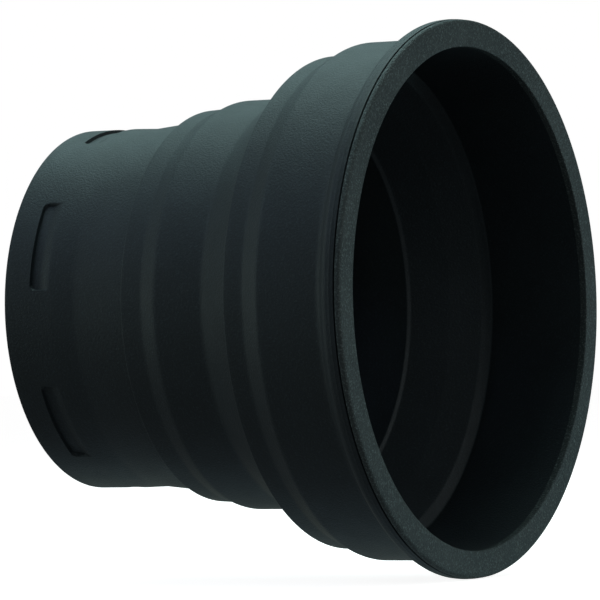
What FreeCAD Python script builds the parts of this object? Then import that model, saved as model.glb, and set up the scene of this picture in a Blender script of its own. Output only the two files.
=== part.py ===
import FreeCAD, Part
import math
import os

# Collapsible silicone lens hood: one stretchy moulding in three sections that nest when folded.
# Frame: origin at the centre of the collar's rear face, the optical axis along Y, the mouth
# towards -Y and +Z up.  A lens enters the bore from the +Y side.
# Millimetres.  "depth" below is the distance from the rear face towards the mouth, so y = -depth.

# ---- driving dimensions ----
# Section lengths. The front one folds back over the middle one, and both over the collar.
COLLAR_LENGTH = 29.6
MIDDLE_LENGTH = 29.5
FRONT_LENGTH = 29.5

# Collar: the stretchy sleeve that grips a lens barrel.
BORE_RADIUS = 35.0
COLLAR_WALL = 2.5
SLEEVE_LENGTH = 16.5
WAIST_TAPER = 0.2
COLLAR_FLARE_RISE = 1.4
FLARE_WALL = 2.0

# Pull pockets: shallow scoops round the collar that fingertips dig into. The first one's middle
# is this many degrees from the top, counted towards -X.
POCKET_COUNT = 6
POCKET_ANGLE = 29.0
POCKET_FIRST_AT = 9.7
POCKET_SETBACK = 6.1
POCKET_LENGTH = 4.5
POCKET_DEPTH = 0.65
POCKET_CORNER = 1.1

# Middle section.
FOLD_GAP = 0.4
MIDDLE_SHOULDER_WALL = 1.4
MIDDLE_SHOULDER_LENGTH = 5.0
MIDDLE_SHOULDER_DRAFT = 0.3
MIDDLE_RISE = 1.4
MIDDLE_RISE_LENGTH = 3.7
MIDDLE_FLARE_LENGTH = 9.5
MIDDLE_FLARE_RISE = 4.8
MIDDLE_WALL = 2.0
WEB_THICKNESS = 1.6
BEAD_LENGTH = 1.8
BEAD_HEIGHT = 0.7

# Front section.
FRONT_STEP = 3.3
FRONT_WALL = 2.4
FRONT_SHOULDER_LENGTH = 4.6
FRONT_SHOULDER_DRAFT = 0.2
FRONT_RISE = 2.2
FRONT_RISE_LENGTH = 4.2
INNER_RISE_LENGTH = 1.2
INNER_RISE_SETBACK = 1.3
FLANGE_RAMP = 2.2
FLANGE_RISE = 3.7
FLANGE_LAND = 2.6

# Rim: the thick soft ring that rests against glass.
RIM_THICKNESS = 1.4
RIM_INSET = 0.5
SEAM_WIDTH = 0.25
SEAM_DEPTH = 1.2

# Edge roundings, taken off each corner.
REAR_EDGE = 0.4
SHOULDER_EDGE = 0.5
RIM_EDGE = 0.5

# ---- places worked out from the driving dimensions ----
COLLAR_OUTER = BORE_RADIUS + COLLAR_WALL
WAIST_RADIUS = COLLAR_OUTER - WAIST_TAPER
COLLAR_CREST = WAIST_RADIUS + COLLAR_FLARE_RISE
COLLAR_END = COLLAR_LENGTH

MIDDLE_SHOULDER_INNER = COLLAR_CREST + FOLD_GAP
MIDDLE_SHOULDER_OUTER = MIDDLE_SHOULDER_INNER + MIDDLE_SHOULDER_WALL
MIDDLE_OUTER = MIDDLE_SHOULDER_OUTER + MIDDLE_SHOULDER_DRAFT + MIDDLE_RISE
MIDDLE_INNER = MIDDLE_OUTER - MIDDLE_WALL
MIDDLE_CREST = MIDDLE_OUTER + MIDDLE_FLARE_RISE
MIDDLE_CREST_INNER = MIDDLE_CREST - MIDDLE_WALL
MIDDLE_SHOULDER_END = COLLAR_END + MIDDLE_SHOULDER_LENGTH
MIDDLE_RISE_END = MIDDLE_SHOULDER_END + MIDDLE_RISE_LENGTH
MIDDLE_END = COLLAR_END + MIDDLE_LENGTH
MIDDLE_FLARE_START = MIDDLE_END - MIDDLE_FLARE_LENGTH
BEAD_END = MIDDLE_FLARE_START + BEAD_LENGTH
BEAD_FOOT = MIDDLE_INNER + MIDDLE_FLARE_RISE * BEAD_LENGTH / MIDDLE_FLARE_LENGTH

FRONT_SHOULDER_OUTER = MIDDLE_CREST + FRONT_STEP
FRONT_SHOULDER_INNER = FRONT_SHOULDER_OUTER - FRONT_WALL
FRONT_OUTER = FRONT_SHOULDER_OUTER + FRONT_SHOULDER_DRAFT + FRONT_RISE
MOUTH_RADIUS = FRONT_OUTER - FRONT_WALL
FRONT_SHOULDER_END = MIDDLE_END + FRONT_SHOULDER_LENGTH
FRONT_RISE_END = FRONT_SHOULDER_END + FRONT_RISE_LENGTH
INNER_RISE_START = FRONT_SHOULDER_END + INNER_RISE_SETBACK
INNER_RISE_END = INNER_RISE_START + INNER_RISE_LENGTH
FRONT_END = MIDDLE_END + FRONT_LENGTH
RIM_START = FRONT_END - RIM_THICKNESS
FLANGE_END = RIM_START
FLANGE_START = FLANGE_END - FLANGE_LAND - FLANGE_RAMP
FLANGE_OUTER = FRONT_OUTER + FLANGE_RISE
RIM_OUTER = FLANGE_OUTER - RIM_INSET

AXIS_POINT = FreeCAD.Vector(0, 0, 0)
AXIS = FreeCAD.Vector(0, 1, 0)


def point(depth, radius):
    """A point of a section outline: depth from the rear face, radius from the optical axis."""
    return FreeCAD.Vector(radius, -depth, 0)


def corner_arc(before, corner, after, rounding):
    """The start, middle and end of the arc that rounds a corner of an outline."""
    back = (before - corner).normalize()
    ahead = (after - corner).normalize()
    half = back.getAngle(ahead) / 2
    along = rounding / math.tan(half)
    inward = (back + ahead).normalize()
    middle = corner + inward * (rounding / math.sin(half) - rounding)
    return corner + back * along, middle, corner + ahead * along


def outline(points, roundings):
    """A closed wire through the points, with the corners listed in roundings made into arcs."""
    edges = []
    starts = []
    ends = []
    count = len(points)
    for i, corner in enumerate(points):
        if i in roundings:
            arc = corner_arc(points[i - 1], corner, points[(i + 1) % count], roundings[i])
            starts.append(arc[0])
            ends.append(arc[2])
            edges.append(Part.Arc(*arc).toShape())
        else:
            starts.append(corner)
            ends.append(corner)
    for i in range(count):
        edges.append(Part.LineSegment(ends[i], starts[(i + 1) % count]).toShape())
    return Part.Wire(Part.__sortEdges__(edges))


def ring(places, roundings=None):
    """A ring turned about the optical axis from (depth, radius) places of its section."""
    points = [point(depth, radius) for depth, radius in places]
    face = Part.Face(outline(points, roundings or {}))
    return face.revolve(AXIS_POINT, AXIS, 360)


def pocket_cutter():
    """The wedge that scoops one pull pocket: deep at its rear end, running out flush in front."""
    rear = POCKET_SETBACK
    front = POCKET_SETBACK + POCKET_LENGTH
    floor = COLLAR_OUTER - POCKET_DEPTH
    above = COLLAR_OUTER + POCKET_DEPTH
    section = [point(rear, floor), point(front, COLLAR_OUTER), point(front, above), point(rear, above)]
    wedge = Part.Face(outline(section, {})).revolve(AXIS_POINT, AXIS, POCKET_ANGLE)
    corners = []
    for edge in wedge.Edges:
        ends = [vertex.Point for vertex in edge.Vertexes]
        if len(ends) == 2 and abs(ends[0].y + rear) < 0.01 and abs(ends[1].y + rear) < 0.01:
            radii = [math.hypot(end.x, end.z) for end in ends]
            if abs(radii[0] - radii[1]) > POCKET_DEPTH:
                corners.append(edge)
    return wedge.makeFillet(min(POCKET_CORNER, POCKET_LENGTH / 3), corners)


def collar_sleeve():
    """The gripping tube, with a rounded rear edge and the pull pockets cut into its outside."""
    sleeve = ring(
        [
            (0, BORE_RADIUS),
            (0, COLLAR_OUTER),
            (SLEEVE_LENGTH, WAIST_RADIUS),
            (SLEEVE_LENGTH, BORE_RADIUS),
        ],
        {1: min(REAR_EDGE, COLLAR_WALL / 2.5)},
    )
    # The cutter starts at +X, a quarter turn from the top, and reaches its own angle round.
    cutter = pocket_cutter()
    for i in range(POCKET_COUNT):
        from_top = POCKET_FIRST_AT + i * 360 / POCKET_COUNT
        one = cutter.copy()
        one.rotate(AXIS_POINT, AXIS, -90 - from_top - POCKET_ANGLE / 2)
        sleeve = sleeve.cut(one)
    return sleeve


def collar_flare():
    """The collar's front half, which widens to the crest that the middle section folds over."""
    return ring(
        [
            (SLEEVE_LENGTH, BORE_RADIUS),
            (SLEEVE_LENGTH, WAIST_RADIUS),
            (COLLAR_END, COLLAR_CREST),
            (COLLAR_END, COLLAR_CREST - FLARE_WALL),
        ]
    )


def rear_fold_web():
    """The thin annulus that joins the collar's crest to the middle section and rolls as it folds."""
    return ring(
        [
            (COLLAR_END, COLLAR_CREST - FLARE_WALL),
            (COLLAR_END, MIDDLE_SHOULDER_INNER),
            (COLLAR_END + WEB_THICKNESS, MIDDLE_SHOULDER_INNER),
            (COLLAR_END + WEB_THICKNESS, COLLAR_CREST - FLARE_WALL),
        ]
    )


def middle_shoulder():
    """The narrow band at the rear of the middle section, and the rise to its full width."""
    return ring(
        [
            (COLLAR_END, MIDDLE_SHOULDER_INNER),
            (COLLAR_END, MIDDLE_SHOULDER_OUTER),
            (MIDDLE_SHOULDER_END, MIDDLE_SHOULDER_OUTER + MIDDLE_SHOULDER_DRAFT),
            (MIDDLE_RISE_END, MIDDLE_OUTER),
            (MIDDLE_RISE_END, MIDDLE_INNER),
            (MIDDLE_SHOULDER_END, MIDDLE_SHOULDER_INNER),
        ],
        {1: min(SHOULDER_EDGE, MIDDLE_SHOULDER_WALL / 2)},
    )


def middle_barrel():
    """The straight band of the middle section."""
    return ring(
        [
            (MIDDLE_RISE_END, MIDDLE_INNER),
            (MIDDLE_RISE_END, MIDDLE_OUTER),
            (MIDDLE_FLARE_START, MIDDLE_OUTER),
            (MIDDLE_FLARE_START, MIDDLE_INNER),
        ]
    )


def fold_bead():
    """The low ridge inside the middle section, just in front of where the flare starts."""
    return ring(
        [
            (MIDDLE_FLARE_START, MIDDLE_INNER),
            (BEAD_END, BEAD_FOOT),
            (BEAD_END, BEAD_FOOT - BEAD_HEIGHT),
        ]
    )


def middle_flare():
    """The front of the middle section, which widens to the crest that the front folds over."""
    return ring(
        [
            (MIDDLE_FLARE_START, MIDDLE_INNER),
            (MIDDLE_FLARE_START, MIDDLE_OUTER),
            (MIDDLE_END, MIDDLE_CREST),
            (MIDDLE_END, MIDDLE_CREST_INNER),
        ]
    )


def front_fold_web():
    """The thin annulus that joins the middle crest to the front section and rolls as it folds."""
    return ring(
        [
            (MIDDLE_END, MIDDLE_CREST_INNER),
            (MIDDLE_END, FRONT_SHOULDER_INNER),
            (MIDDLE_END + WEB_THICKNESS, FRONT_SHOULDER_INNER),
            (MIDDLE_END + WEB_THICKNESS, MIDDLE_CREST_INNER),
        ]
    )


def front_shoulder():
    """The narrow band at the rear of the front section, and the rise to the barrel."""
    return ring(
        [
            (MIDDLE_END, FRONT_SHOULDER_INNER),
            (MIDDLE_END, FRONT_SHOULDER_OUTER),
            (FRONT_SHOULDER_END, FRONT_SHOULDER_OUTER + FRONT_SHOULDER_DRAFT),
            (FRONT_RISE_END, FRONT_OUTER),
            (FRONT_RISE_END, MOUTH_RADIUS),
            (INNER_RISE_END, MOUTH_RADIUS),
            (INNER_RISE_START, FRONT_SHOULDER_INNER + FRONT_SHOULDER_DRAFT),
            (MIDDLE_END + WEB_THICKNESS, FRONT_SHOULDER_INNER),
        ],
        {1: min(SHOULDER_EDGE, FRONT_WALL / 2)},
    )


def front_barrel():
    """The long straight band of the front section."""
    return ring(
        [
            (FRONT_RISE_END, MOUTH_RADIUS),
            (FRONT_RISE_END, FRONT_OUTER),
            (FLANGE_START, FRONT_OUTER),
            (FLANGE_START, MOUTH_RADIUS),
        ]
    )


def barrel_flange():
    """The solid band that carries the rim: straight inside, a short ramp and a land outside."""
    return ring(
        [
            (FLANGE_START, MOUTH_RADIUS),
            (FLANGE_START, FRONT_OUTER),
            (FLANGE_END - FLANGE_LAND, FLANGE_OUTER),
            (FLANGE_END, FLANGE_OUTER),
            (FLANGE_END, MOUTH_RADIUS),
        ]
    )


def rim_ring():
    """The flat-faced ring at the mouth, with a fine seam cut behind its outer edge."""
    return ring(
        [
            (FLANGE_END, MOUTH_RADIUS),
            (FLANGE_END, RIM_OUTER - SEAM_DEPTH),
            (FLANGE_END + SEAM_WIDTH, RIM_OUTER - SEAM_DEPTH),
            (FLANGE_END + SEAM_WIDTH, RIM_OUTER),
            (FRONT_END, RIM_OUTER),
            (FRONT_END, MOUTH_RADIUS),
        ],
        {4: min(RIM_EDGE, RIM_THICKNESS / 3), 5: min(RIM_EDGE, RIM_THICKNESS / 3)},
    )


SUB_PARTS = {
    "collar_sleeve": collar_sleeve,
    "collar_flare": collar_flare,
    "rear_fold_web": rear_fold_web,
    "middle_shoulder": middle_shoulder,
    "middle_barrel": middle_barrel,
    "fold_bead": fold_bead,
    "middle_flare": middle_flare,
    "front_fold_web": front_fold_web,
    "front_shoulder": front_shoulder,
    "front_barrel": front_barrel,
    "barrel_flange": barrel_flange,
    "rim_ring": rim_ring,
}

os.makedirs("parts", exist_ok=True)
for name, make in SUB_PARTS.items():
    solid = make()
    solid.exportStep("parts/" + name + ".step")
    print(name, "solids", len(solid.Solids), "valid", solid.isValid(), "mm3", round(solid.Volume, 1))
print("bore", BORE_RADIUS, "mouth", MOUTH_RADIUS, "rim", FLANGE_OUTER, "length", FRONT_END)
print("fold travel", 2 * MIDDLE_LENGTH, "crests", COLLAR_CREST, MIDDLE_CREST)
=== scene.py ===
# %% [markdown]
# # A collapsible silicone lens hood
#
# The real hood is one soft black moulding: a collar that stretches over a lens, a middle section
# and a wide front section, joined by thin webs that roll when the hood is folded back. Everything
# is turned about one line, the optical axis, which is Y here. The mouth faces -Y and Z is up.
#
# The CAD model is loaded first and stays where it is. It gives every depth and radius, so the
# pieces made below fit it without any moving or scaling.

# %% Load the frame
import bpy
import math
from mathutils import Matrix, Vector


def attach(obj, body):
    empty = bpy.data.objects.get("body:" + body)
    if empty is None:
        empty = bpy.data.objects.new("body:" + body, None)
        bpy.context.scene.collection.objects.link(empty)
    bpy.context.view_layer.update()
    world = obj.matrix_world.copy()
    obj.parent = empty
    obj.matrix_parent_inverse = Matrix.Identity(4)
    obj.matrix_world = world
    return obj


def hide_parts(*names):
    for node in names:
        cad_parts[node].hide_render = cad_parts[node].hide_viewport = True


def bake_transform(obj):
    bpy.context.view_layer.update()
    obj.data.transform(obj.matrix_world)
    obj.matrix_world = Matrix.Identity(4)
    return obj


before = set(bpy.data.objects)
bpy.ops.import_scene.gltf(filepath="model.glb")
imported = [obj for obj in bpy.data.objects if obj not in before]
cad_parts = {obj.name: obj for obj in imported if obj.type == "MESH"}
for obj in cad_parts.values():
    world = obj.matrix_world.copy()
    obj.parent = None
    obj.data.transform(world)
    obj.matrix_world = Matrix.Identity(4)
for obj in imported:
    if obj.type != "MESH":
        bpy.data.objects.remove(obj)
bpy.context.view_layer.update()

# %% [markdown]
# ## Reading sizes from the CAD model
#
# A turned part is described by depth, how far a place is from the rear face, and radius, how far
# it is from the axis. Both could be typed in again, but then a change to the model would leave the
# looks behind. A turned node has a ring of points wherever its outline turns a corner, so the
# helpers below read the numbers there.

# %% Depths and radii of the CAD nodes
MM = 0.001
SAME_DEPTH = 0.02 * MM
SAME_RADIUS = 0.01 * MM
REAR_EDGE_ZONE = 0.6 * MM
SHOULDER_LENGTH_2 = 5.0 * MM
SHOULDER_LENGTH_3 = 4.6 * MM


def places(node):
    """Every point of a CAD node as (depth, radius)."""
    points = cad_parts[node].data.vertices
    return [(-v.co.y, math.hypot(v.co.x, v.co.z)) for v in points]


def span(node):
    """The depths of a node's rear and front ends."""
    depths = [depth for depth, _ in places(node)]
    return min(depths), max(depths)


def radii(node, depth):
    """The smallest and largest radius of a node at a depth where it has a circle."""
    found = [radius for at, radius in places(node) if abs(at - depth) < SAME_DEPTH]
    return min(found), max(found)


def rear_radius(node, rear):
    """The largest radius of a node's softly rounded rear edge."""
    return max(radius for depth, radius in places(node) if depth < rear + REAR_EDGE_ZONE)


REAR, WAIST = span("collar_sleeve")
CREST_1 = span("collar_flare")[1]
SHOULDER_2, RISE_2 = span("middle_shoulder")
FLARE_2, CREST_2 = span("middle_flare")
WEB_1 = span("rear_fold_web")[1]
RISE_3 = span("front_shoulder")[1]
FLANGE, SEAM = span("barrel_flange")
FACE = span("rim_ring")[1]

BORE = radii("collar_sleeve", WAIST)[0]
WAIST_R = radii("collar_sleeve", WAIST)[1]
COLLAR_R = max(radius for _, radius in places("collar_sleeve"))
CREST_1_IN, CREST_1_R = radii("collar_flare", CREST_1)
MIDDLE_IN, MIDDLE_R = radii("middle_barrel", RISE_2)
SHOULDER_2_IN = radii("rear_fold_web", WEB_1)[1]
SHOULDER_2_R = rear_radius("middle_shoulder", SHOULDER_2)
SHOULDER_END_2 = SHOULDER_2 + SHOULDER_LENGTH_2
SHOULDER_END_2_R = radii("middle_shoulder", SHOULDER_END_2)[1]
BEAD_IN = min(radius for _, radius in places("fold_bead"))
CREST_2_IN, CREST_2_R = radii("middle_flare", CREST_2)
FRONT_IN, FRONT_R = radii("front_barrel", RISE_3)
SHOULDER_3_R = rear_radius("front_shoulder", CREST_2)
SHOULDER_END_3 = CREST_2 + SHOULDER_LENGTH_3
SHOULDER_END_3_R = radii("front_shoulder", SHOULDER_END_3)[1]
FLANGE_R = radii("barrel_flange", SEAM)[1]
LAND = min(at for at, radius in places("barrel_flange") if radius > FLANGE_R - SAME_RADIUS)
RIM_R = max(radius for _, radius in places("rim_ring"))

for title, lengths in {
    "depths mm": (WAIST, CREST_1, RISE_2, CREST_2, RISE_3, FLANGE, FACE),
    "radii mm": (BORE, CREST_1_R, SHOULDER_2_R, MIDDLE_R, CREST_2_R),
    "front radii mm": (SHOULDER_3_R, FRONT_R, FLANGE_R, RIM_R),
}.items():
    print(title, [round(length / MM, 2) for length in lengths])

# %% [markdown]
# ## Camera
#
# The hood is seen from its front left, almost level, with a long lens from about a metre, so the
# rim stays a clean ellipse and the sections hardly shrink with distance. A short lens would make
# the mouth look far too large for the collar. The camera leans a little, because the axis runs
# slightly uphill in the frame.

# %% Place the camera
AIM = Vector((0, -48.06 * MM, 0.75 * MM))
CAMERA_TURN = math.radians(-60.47)
CAMERA_RISE = math.radians(-0.709)
CAMERA_LEAN = math.radians(-1.251)
CAMERA_DISTANCE = 1.0015
FOCAL_LENGTH = 292.3
SENSOR_WIDTH = 36
FARTHEST_SEEN = 50


def add_camera():
    """A camera at the view's angle round the hood, looking at its middle."""
    back = Vector((math.sin(CAMERA_TURN), -math.cos(CAMERA_TURN), math.tan(CAMERA_RISE)))
    bpy.ops.object.camera_add(location=AIM + back.normalized() * CAMERA_DISTANCE)
    camera = bpy.context.object
    look = (AIM - camera.location).to_track_quat("-Z", "Y").to_euler()
    camera.rotation_euler = look
    camera.rotation_euler.rotate_axis("Z", CAMERA_LEAN)
    camera.data.lens = FOCAL_LENGTH
    camera.data.sensor_width = SENSOR_WIDTH
    camera.data.clip_end = FARTHEST_SEEN
    bpy.context.scene.camera = camera
    print("camera at", [round(c, 3) for c in camera.location])


add_camera()

# %% [markdown]
# ## Studio
#
# Black silicone shows its shape only by what it reflects, so the light matters as much as the
# mesh. A wide soft box overhead draws the bright top that fades down the near side. Weak ones to
# the rear pick out the flares and rises, which face backwards, and leave the straight bands dark.
# Others in front of the mouth and below lift the flat rim and the underside. The room itself adds
# very little, so that the bands keep their differences.

# %% Lights
ROOM_LIGHT = 0.11


def soft_box(name, location, size, power, tint):
    """A square area light that faces the middle of the hood and isn't seen itself."""
    bpy.ops.object.light_add(type="AREA", location=location)
    lamp = bpy.context.object
    lamp.name = name
    lamp.data.size = size
    lamp.data.energy = power
    lamp.data.color = tint
    lamp.visible_camera = False
    lamp.rotation_euler = (AIM - lamp.location).to_track_quat("-Z", "Y").to_euler()


# name, place and size in metres, watts, tint
SOFT_BOXES = [
    ("top_box", (0.12, 0.05, 0.75), 0.6, 3.6, (0.76, 1, 0.96)),
    ("top_back_box", (0.45, 0.35, 0.60), 0.6, 1.3, (0.63, 1, 0.99)),
    ("top_rear_box", (-0.45, 0.50, 0.60), 0.6, 0.87, (0.65, 0.74, 1)),
    ("rear_box", (-0.35, 0.80, 0.10), 0.5, 0.9, (0.85, 1, 0.90)),
    ("low_back_box", (1.0, 0.55, -0.45), 1.0, 0.65, (0.77, 1, 0.80)),
    ("mouth_box", (0.75, -0.65, -0.25), 0.5, 1.15, (0.58, 0.96, 1)),
    ("front_box", (0.25, -1.0, 0.25), 0.5, 1.5, (1, 0.97, 0.95)),
    ("camera_box", (-0.80, -0.45, 0.15), 0.8, 0.25, (0.95, 0.95, 1)),
    ("under_box", (0.40, 0.20, -0.70), 0.6, 0.32, (0.45, 0.80, 1)),
]
for box in SOFT_BOXES:
    soft_box(*box)

world = bpy.data.worlds.new("studio")
bpy.context.scene.world = world
world.use_nodes = True
world.node_tree.nodes["Background"].inputs["Color"].default_value = (1, 1, 1, 1)
world.node_tree.nodes["Background"].inputs["Strength"].default_value = ROOM_LIGHT
bpy.context.scene.view_settings.view_transform = "Standard"
print("soft boxes:", len(SOFT_BOXES))

# %% [markdown]
# The floor and backdrop are nearly white. They are hidden from the hood's own reflections, because
# a white room all round would turn the black rubber grey. They cast no shadow, so the boxes below
# the floor still reach the hood. A black card behind the collar, which the camera doesn't see,
# keeps much of the rear boxes' light out of the bore.

# %% Floor, backdrop and card
FLOOR_HEIGHT = -FLANGE_R - 0.1 * MM
FLOOR_SIZE = 14
BACKDROP_RADIUS = 6.5
CARD_RADIUS = 0.72 * BORE
CARD_BEHIND = 2 * MM
STUDIO_ROUGHNESS = 0.9


def studio_surface(name, glow, albedo):
    """A plain matte material that gives some light of its own and returns a share of the rest."""
    material = bpy.data.materials.new(name)
    material.use_nodes = True
    shader = material.node_tree.nodes["Principled BSDF"]
    shader.inputs["Base Color"].default_value = (albedo, albedo, albedo, 1)
    shader.inputs["Roughness"].default_value = STUDIO_ROUGHNESS
    shader.inputs["Emission Color"].default_value = (1, 1, 1, 1)
    shader.inputs["Emission Strength"].default_value = glow
    return material


def hide_from_hood(thing):
    """Leaves a studio surface visible to the camera only."""
    thing.visible_diffuse = False
    thing.visible_glossy = False
    thing.visible_transmission = False


bpy.ops.mesh.primitive_plane_add(size=FLOOR_SIZE, location=(0, 0, FLOOR_HEIGHT))
floor = bpy.context.object
floor.name = "floor"
floor.visible_shadow = False
floor.data.materials.append(studio_surface("floor_white", glow=0.9, albedo=0.8))
hide_from_hood(floor)

bpy.ops.mesh.primitive_uv_sphere_add(segments=48, ring_count=24, radius=BACKDROP_RADIUS)
backdrop = bpy.context.object
backdrop.name = "backdrop"
backdrop.visible_shadow = False
backdrop.data.materials.append(studio_surface("backdrop_white", glow=1.0, albedo=0))
hide_from_hood(backdrop)

bpy.ops.mesh.primitive_circle_add(
    radius=CARD_RADIUS,
    fill_type="NGON",
    location=(0, CARD_BEHIND, 0),
    rotation=(math.pi / 2, 0, 0),
)
card = bpy.context.object
card.name = "black_card"
card.visible_camera = False
card.data.materials.append(studio_surface("card_black", glow=0, albedo=0.01))
print("stage:", floor.name, backdrop.name, card.name)

# %% [markdown]
# ## The silicone
#
# Moulded silicone is near black with a cool, slightly green cast, and it is dull: the mould was
# blasted, so the skin scatters light. A plain dark colour would look like paint. Four things make
# it rubber: two near blacks that drift into each other over centimetres, tiny pale specks, a
# roughness that wanders a little, and a very fine bump that stands for the blasted skin. The rim
# has more specks and a coarser grain, and its colour is painted greyer: painted light for the
# front light that falls on its face.

# %% Silicone materials
COOL_SHINE = (0.80, 0.96, 1.0)
CLOUDS_PER_METRE = 45
SPECKS_PER_METRE = 2600
DRIFTS_PER_METRE = 160
TONES_FROM_TO = (0.35, 0.68)
SPECKS_FROM_TO = (0.52, 0.8)
SPECK_GAIN = 3
ROUGHNESS_SWING = 0.06
GRAIN_STRENGTH = 0.6
SHINE = 0.45


def node(tree, kind, place, **settings):
    """Adds a node at a place in the material's graph and sets its properties."""
    made = tree.nodes.new(kind)
    made.location = place
    for key, value in settings.items():
        setattr(made, key, value)
    return made


def noise(tree, place, scale, detail, rough=0.55):
    """Three-dimensional noise in the hood's own coordinates, in features per metre."""
    made = node(tree, "ShaderNodeTexNoise", place)
    made.inputs["Scale"].default_value = scale
    made.inputs["Detail"].default_value = detail
    made.inputs["Roughness"].default_value = rough
    return made


def silicone(name, dark, light, dull, grain_size, grain_depth, speckle=0.5):
    """A matte moulded rubber: two tones, pale specks, a wandering roughness and a fine grain."""
    material = bpy.data.materials.new(name)
    material.use_nodes = True
    tree = material.node_tree
    links = tree.links
    shader = tree.nodes["Principled BSDF"]
    where = node(tree, "ShaderNodeTexCoord", (-1100, 0))

    clouds = noise(tree, (-850, 300), CLOUDS_PER_METRE, 3)
    tones = node(tree, "ShaderNodeValToRGB", (-600, 300))
    tones.color_ramp.elements[0].position = TONES_FROM_TO[0]
    tones.color_ramp.elements[0].color = (*dark, 1)
    tones.color_ramp.elements[1].position = TONES_FROM_TO[1]
    tones.color_ramp.elements[1].color = (*light, 1)
    links.new(where.outputs["Object"], clouds.inputs["Vector"])
    links.new(clouds.outputs["Fac"], tones.inputs["Fac"])

    specks = noise(tree, (-850, 560), SPECKS_PER_METRE, 2)
    speck_share = node(tree, "ShaderNodeMapRange", (-600, 560))
    speck_share.inputs["From Min"].default_value = SPECKS_FROM_TO[0]
    speck_share.inputs["From Max"].default_value = SPECKS_FROM_TO[1]
    speck_share.inputs["To Max"].default_value = speckle
    speckled = node(tree, "ShaderNodeMix", (-330, 400), data_type="RGBA")
    speckled.inputs["B"].default_value = (*(SPECK_GAIN * c for c in light), 1)
    links.new(where.outputs["Object"], specks.inputs["Vector"])
    links.new(specks.outputs["Fac"], speck_share.inputs["Value"])
    links.new(speck_share.outputs["Result"], speckled.inputs["Factor"])
    links.new(tones.outputs["Color"], speckled.inputs["A"])
    links.new(speckled.outputs["Result"], shader.inputs["Base Color"])

    sheen_drift = noise(tree, (-850, 0), DRIFTS_PER_METRE, 2)
    roughness = node(tree, "ShaderNodeMapRange", (-600, 0))
    roughness.inputs["To Min"].default_value = dull - ROUGHNESS_SWING
    roughness.inputs["To Max"].default_value = dull + ROUGHNESS_SWING
    links.new(where.outputs["Object"], sheen_drift.inputs["Vector"])
    links.new(sheen_drift.outputs["Fac"], roughness.inputs["Value"])
    links.new(roughness.outputs["Result"], shader.inputs["Roughness"])

    blasted = noise(tree, (-850, -300), 1 / grain_size, 3, 0.6)
    grain = node(tree, "ShaderNodeBump", (-330, -300))
    grain.inputs["Strength"].default_value = GRAIN_STRENGTH
    grain.inputs["Distance"].default_value = grain_depth
    links.new(where.outputs["Object"], blasted.inputs["Vector"])
    links.new(blasted.outputs["Fac"], grain.inputs["Height"])
    links.new(grain.outputs["Normal"], shader.inputs["Normal"])

    shader.inputs["Specular IOR Level"].default_value = SHINE
    shader.inputs["Specular Tint"].default_value = (*COOL_SHINE, 1)
    print("finish", name, "roughness", dull)
    return material


# %% [markdown]
# Four finishes share that recipe. The folding part is a touch duller than the sections it joins
# and its grain is shallower, so that it reads as the softest stretch of the rubber.

# %% The four finishes
NEAR_BLACK = (0.009, 0.014, 0.017)
WORN_BLACK = (0.013, 0.020, 0.024)
# The rim's two tones are painted lighter than the body's: painted light for the front light on its
# face.
RIM_LIT_BLACK = (0.026, 0.038, 0.039)
RIM_LIT_GREY = (0.044, 0.060, 0.060)
BODY_GRAIN = 0.45 * MM
RIM_GRAIN = 0.5 * MM

COLLAR_FINISH = silicone("collar_silicone", NEAR_BLACK, WORN_BLACK, 0.56, BODY_GRAIN, 0.20 * MM)
FOLD_FINISH = silicone("fold_silicone", NEAR_BLACK, WORN_BLACK, 0.58, BODY_GRAIN, 0.18 * MM)
FRONT_FINISH = silicone("front_silicone", NEAR_BLACK, WORN_BLACK, 0.56, BODY_GRAIN, 0.20 * MM)
RIM_FINISH = silicone("rim_silicone", RIM_LIT_BLACK, RIM_LIT_GREY, 0.62, RIM_GRAIN, 0.60 * MM, 1.2)

# %% [markdown]
# ## Turning a ring
#
# Each section of the hood could be built from cylinders and cones, but their joins would show and
# the wall could not change its thickness. A turner thinks of the section instead: one closed
# outline that holds the outside, the inside and both ends. So an outline is drawn by pulling one
# point along with Extrude, and Spin sweeps it round the axis. Spin slows down as the mesh grows, so
# it only makes an eighth of the ring, and three doublings with Duplicate and Rotate make the rest.
#
# Silicone leaves its mould with no sharp corner. Each corner of an outline carries its own
# rounding, drawn as a short curve between the two sides.

# %% The outline and spin helpers
CURVE_STEPS = 6
LONGEST_ROUNDING = 0.7
WELD = 0.001 * MM
EXACT_FIT = 0.01


def rounded(corners):
    """The (depth, radius) places of an outline whose (depth, radius, rounding) corners are curves."""
    drawn = []
    for i, (depth, radius, rounding) in enumerate(corners):
        corner = Vector((depth, radius))
        if not rounding:
            drawn.append(corner)
            continue
        to_last = Vector(corners[i - 1][:2]) - corner
        to_next = Vector(corners[(i + 1) % len(corners)][:2]) - corner
        start = corner + to_last.normalized() * min(rounding, LONGEST_ROUNDING * to_last.length)
        end = corner + to_next.normalized() * min(rounding, LONGEST_ROUNDING * to_next.length)
        for step in range(CURVE_STEPS + 1):
            t = step / CURVE_STEPS
            drawn.append(start * (1 - t) ** 2 + corner * 2 * t * (1 - t) + end * t * t)
    return drawn


def clear_selection():
    """Leaves nothing selected, so that an operator only touches what is made next."""
    for thing in bpy.context.selected_objects:
        thing.select_set(False)


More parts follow.
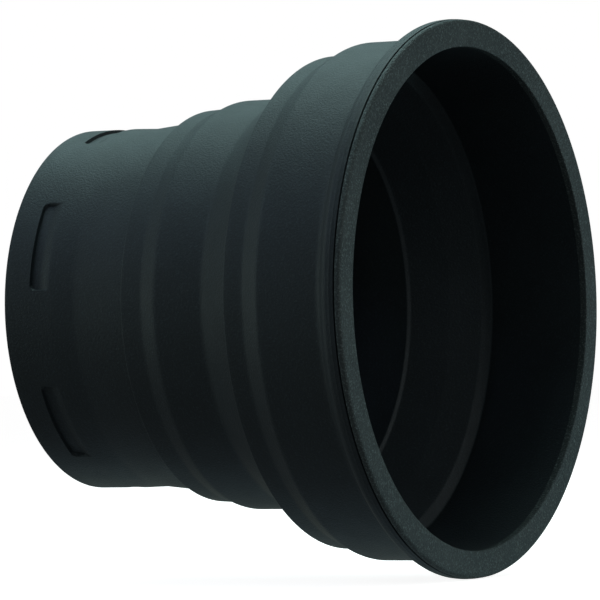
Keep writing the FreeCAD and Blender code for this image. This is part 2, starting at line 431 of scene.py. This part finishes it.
def draw_outline(name, drawn, longest, fine_zone):
    """One closed loop of edges in the XY plane, with short edges in the fine zone."""
    zone_rear, zone_front, zone_inside, zone_longest = fine_zone
    clear_selection()
    first = drawn[0]
    bpy.ops.mesh.primitive_plane_add(size=MM, location=(first.y, -first.x, 0))
    piece = bpy.context.object
    piece.name = name
    piece.data.name = name
    bpy.ops.object.transform_apply(location=True)
    bpy.ops.object.mode_set(mode="EDIT")
    bpy.ops.mesh.merge(type="CENTER")
    for here, there in zip(drawn, drawn[1:] + drawn[:1]):
        step = there - here
        middle = (here + there) / 2
        fine = zone_rear < middle.x < zone_front and middle.y > zone_inside
        parts = max(1, math.ceil(step.length / (zone_longest if fine else longest) - EXACT_FIT))
        for _ in range(parts):
            pull = {"value": (step.y / parts, -step.x / parts, 0)}
            bpy.ops.mesh.extrude_region_move(TRANSFORM_OT_translate=pull)
    bpy.ops.mesh.select_all(action="SELECT")
    bpy.ops.mesh.remove_doubles(threshold=WELD)
    return piece


def turned(name, corners, columns, longest, crease=30, fine_zone=(0, 0, 0, MM)):
    """A closed ring of silicone: the outline, spun an eighth of a turn and then doubled thrice."""
    piece = draw_outline(name, rounded(corners), longest, fine_zone)
    bpy.ops.mesh.spin(steps=columns // 8, angle=math.pi / 4, center=(0, 0, 0), axis=(0, 1, 0))
    for doubled in (math.pi / 4, math.pi / 2, math.pi):
        bpy.ops.mesh.select_all(action="SELECT")
        bpy.ops.mesh.duplicate()
        bpy.ops.transform.rotate(value=doubled, orient_axis="Y", center_override=(0, 0, 0))
    bpy.ops.mesh.select_all(action="SELECT")
    bpy.ops.mesh.remove_doubles(threshold=WELD)
    bpy.ops.mesh.normals_make_consistent(inside=False)
    bpy.ops.object.mode_set(mode="OBJECT")
    bpy.ops.object.shade_smooth_by_angle(angle=math.radians(crease))
    print(name, "columns", columns, "faces", len(piece.data.polygons))
    return piece


def finished(piece, finish, slot, *nodes):
    """Gives a piece its material and hides the CAD nodes it stands for; the slot is not used."""
    piece.data.materials.append(finish)
    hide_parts(*nodes)


# %% [markdown]
# ## The collar
#
# The collar is the tube that grips the lens. Outside it runs straight to a waist and then swells to
# its front crest, a little more steeply at the end than at the start. Its rear edge is softly
# rounded, because fingers roll it on and off. Where its pull pockets will be, the grid is fine.

# %% Turn the collar
COLLAR_COLUMNS = 960
COLLAR_CREASE = 40
POCKET_REAR = 6.1 * MM
POCKET_FRONT = 10.7 * MM
PRESSED_MARGIN = 0.3 * MM
PRESSED_REAR = POCKET_REAR - PRESSED_MARGIN
PRESSED_FRONT = POCKET_FRONT + PRESSED_MARGIN
FLARE_SHARE = 0.46
FLARE_MIDDLE = (WAIST + CREST_1) / 2
FLARE_MIDDLE_R = WAIST_R + FLARE_SHARE * (CREST_1_R - WAIST_R)

collar = turned(
    "collar_skin",
    [
        (REAR, BORE, 0.4 * MM),
        (REAR, COLLAR_R, 0.35 * MM),
        (PRESSED_REAR, COLLAR_R, 0),
        (PRESSED_FRONT, COLLAR_R, 0),
        (WAIST, WAIST_R, 0.7 * MM),
        (FLARE_MIDDLE, FLARE_MIDDLE_R, 4 * MM),
        (CREST_1, CREST_1_R, 0.3 * MM),
        (CREST_1, CREST_1_IN, 0),
        (WAIST, BORE, 2 * MM),
    ],
    COLLAR_COLUMNS,
    longest=2 * MM,
    crease=COLLAR_CREASE,
    fine_zone=(PRESSED_REAR, PRESSED_FRONT, BORE + MM, 0.2 * MM),
)

# %% [markdown]
# Six shallow pockets round the collar give fingertips something to pull. They could be cut with a
# Boolean, but that leaves long thin faces that shade badly on a smooth tube. Instead a Displace
# modifier presses the fine grid in. A vertex group says how deep each point goes: full depth at the
# pocket's rear wall, running out to nothing in front.

# %% Press the pull pockets in
POCKETS = 6
POCKET_HALF_ANGLE = math.radians(14.5)
POCKET_FIRST = math.radians(9.7)
POCKET_DEPTH = 0.65 * MM
POCKET_CORNER = 1.2 * MM
WALL_RUN = 0.22 * MM
RUN_OUT_START = 0.4

def smooth_step(low, high, value):
    """0 below low, 1 above high, with an easy run between."""
    t = min(max((value - low) / (high - low), 0), 1)
    return t * t * (3 - 2 * t)


def pocket_share(point):
    """How much of the pockets' full depth a point of the collar's outside takes, from 0 to 1."""
    depth = -point.y
    from_top = math.atan2(-point.x, point.z)
    pitch = 2 * math.pi / POCKETS
    across = abs((from_top - POCKET_FIRST + pitch / 2) % pitch - pitch / 2) * COLLAR_R
    past_rear = depth - POCKET_REAR
    past_end = POCKET_HALF_ANGLE * COLLAR_R - across
    to_wall = min(past_rear, past_end)
    if past_rear < POCKET_CORNER and past_end < POCKET_CORNER:
        reach = math.hypot(POCKET_CORNER - past_rear, POCKET_CORNER - past_end)
        to_wall = POCKET_CORNER - reach
    run_out_from = POCKET_REAR + RUN_OUT_START * (POCKET_FRONT - POCKET_REAR)
    run_out = 1 - smooth_step(run_out_from, POCKET_FRONT, depth)
    return smooth_step(-WALL_RUN / 2, WALL_RUN / 2, to_wall) * run_out


def press_pockets(piece):
    """Presses the pockets into the collar with a weighted Displace modifier."""
    group = piece.vertex_groups.new(name="pockets")
    pressed = 0
    for vertex in piece.data.vertices:
        outside = math.hypot(vertex.co.x, vertex.co.z) > (BORE + COLLAR_R) / 2
        share = pocket_share(vertex.co) if outside else 0
        if share > 0:
            group.add([vertex.index], share, "REPLACE")
            pressed += 1
    clear_selection()
    piece.select_set(True)
    bpy.context.view_layer.objects.active = piece
    press = piece.modifiers.new("press", "DISPLACE")
    press.vertex_group = group.name
    press.mid_level = 0
    press.strength = -POCKET_DEPTH
    bpy.ops.object.modifier_apply(modifier=press.name)
    piece.vertex_groups.clear()
    print("pockets:", POCKETS, "points pressed:", pressed)


press_pockets(collar)
bpy.ops.object.shade_smooth_by_angle(angle=math.radians(COLLAR_CREASE))
finished(collar, COLLAR_FINISH, "collar_silicone", "collar_sleeve", "collar_flare")
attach(collar, "collar")

# %% [markdown]
# ## The folding middle
#
# The middle section steps out from the collar's crest, rises to a straight band and swells again
# to its own crest. It is what makes the hood collapse: pushed back, it rolls over itself like a
# sock. It is turned with many thin rows, so no edge of its outline is longer than about 0.6 mm.
#
# Inside, a low bead marks where the band meets the flare and helps the fold to start there.

# %% Turn the folding middle
MIDDLE_COLUMNS = 360
BEAD_START, BEAD_END = span("fold_bead")
BEAD_FOOT = radii("fold_bead", BEAD_END)[1]
BEAD_RUN_IN = 0.4 * MM

middle = turned(
    "fold_skin",
    [
        (CREST_1, CREST_1_IN, 0),
        (CREST_1, SHOULDER_2_R, 0.35 * MM),
        (SHOULDER_END_2, SHOULDER_END_2_R, 0.6 * MM),
        (RISE_2, MIDDLE_R, 0.6 * MM),
        (FLARE_2, MIDDLE_R, 0.8 * MM),
        (CREST_2, CREST_2_R, 0.35 * MM),
        (CREST_2, CREST_2_IN, 0),
        (BEAD_END + BEAD_RUN_IN, BEAD_FOOT, 0.25 * MM),
        (BEAD_END, BEAD_IN, 0.3 * MM),
        (BEAD_START, MIDDLE_IN, 1 * MM),
        (RISE_2, MIDDLE_IN, 1.2 * MM),
        (SHOULDER_END_2, SHOULDER_2_IN, 1 * MM),
        (WEB_1, SHOULDER_2_IN, 0.5 * MM),
        (WEB_1, CREST_1_IN, 0.4 * MM),
    ],
    MIDDLE_COLUMNS,
    longest=0.6 * MM,
)
finished(
    middle, FOLD_FINISH, "fold_silicone",
    "rear_fold_web", "middle_shoulder", "middle_barrel", "fold_bead", "middle_flare",
)
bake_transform(middle)

# %% [markdown]
# ## The front section
#
# The widest section carries the mouth. Behind the rim it steps up, over a short steep ramp, to a
# solid land that keeps the mouth round. A hair-fine witness line runs round the land, where two
# halves of the mould meet. It is part of the outline, so it catches the light as a real ridge does.
#
# Inside, the wall is straight from the mouth to a short rise. That rise faces forwards, so it shows
# as a thin pale ring in the dark bore. Behind it one smooth funnel runs on into the middle section,
# and hides the web that rolls. The wall is eased a little thinner than the design's, so that the
# rim looks as slim as the real one.

# %% Turn the front section
FRONT_COLUMNS = 360
EASED = 0.45 * MM
INNER_RISE_SETBACK = 1.3 * MM
INNER_RISE_LENGTH = 1.2 * MM
INNER_RISE = SHOULDER_END_3 + INNER_RISE_SETBACK
INNER_RISE_R = radii("front_shoulder", INNER_RISE)[0] + EASED
MOUTH_IN = FRONT_IN + EASED
INNER_RISE_END = INNER_RISE + INNER_RISE_LENGTH
WITNESS_HEIGHT = 0.04 * MM
WITNESS_WIDTH = 0.14 * MM
WITNESS_AT = SEAM - 0.9 * MM

front = turned(
    "front_skin",
    [
        (CREST_2, CREST_2_IN, 0),
        (CREST_2, SHOULDER_3_R, 0.4 * MM),
        (SHOULDER_END_3, SHOULDER_END_3_R, 0.6 * MM),
        (RISE_3, FRONT_R, 0.6 * MM),
        (FLANGE, FRONT_R, 1.4 * MM),
        (LAND, FLANGE_R, 1.4 * MM),
        (WITNESS_AT - WITNESS_WIDTH, FLANGE_R, 0),
        (WITNESS_AT, FLANGE_R + WITNESS_HEIGHT, 0),
        (WITNESS_AT + WITNESS_WIDTH, FLANGE_R, 0),
        (SEAM, FLANGE_R, 0.1 * MM),
        (SEAM, MOUTH_IN, 0),
        (INNER_RISE_END, MOUTH_IN, 0.35 * MM),
        (INNER_RISE, INNER_RISE_R, 0.35 * MM),
    ],
    FRONT_COLUMNS,
    longest=1.5 * MM,
)
finished(
    front, FRONT_FINISH, "front_silicone",
    "front_fold_web", "front_shoulder", "front_barrel", "barrel_flange",
)
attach(front, "front")

# %% [markdown]
# ## The rim
#
# The rim is the flat ring round the mouth. It is pressed against windows, so its face is flat and
# grainy, and its outer edge is well rounded. It is nearly flush with the flange behind it. A fine
# seam keeps the two apart, and that dark line is one of the first things the eye finds.

# %% Turn the rim
SEAM_WIDTH = 0.25 * MM
SEAM_DEPTH = 1.2 * MM
RIM_LIFT = 0.15 * MM
SEAM_FRONT = SEAM + SEAM_WIDTH
SEAM_FLOOR = RIM_R - SEAM_DEPTH
RIM_OUT = (RIM_R + FLANGE_R) / 2 + RIM_LIFT

rim = turned(
    "rim_band",
    [
        (SEAM, MOUTH_IN, 0),
        (SEAM, SEAM_FLOOR, 0),
        (SEAM_FRONT, SEAM_FLOOR, 0),
        (SEAM_FRONT, RIM_OUT, 0.08 * MM),
        (FACE, RIM_OUT, 1.1 * MM),
        (FACE, MOUTH_IN, 0.3 * MM),
    ],
    FRONT_COLUMNS,
    longest=0.8 * MM,
)
finished(rim, RIM_FINISH, "rim_silicone", "rim_ring")
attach(rim, "front")
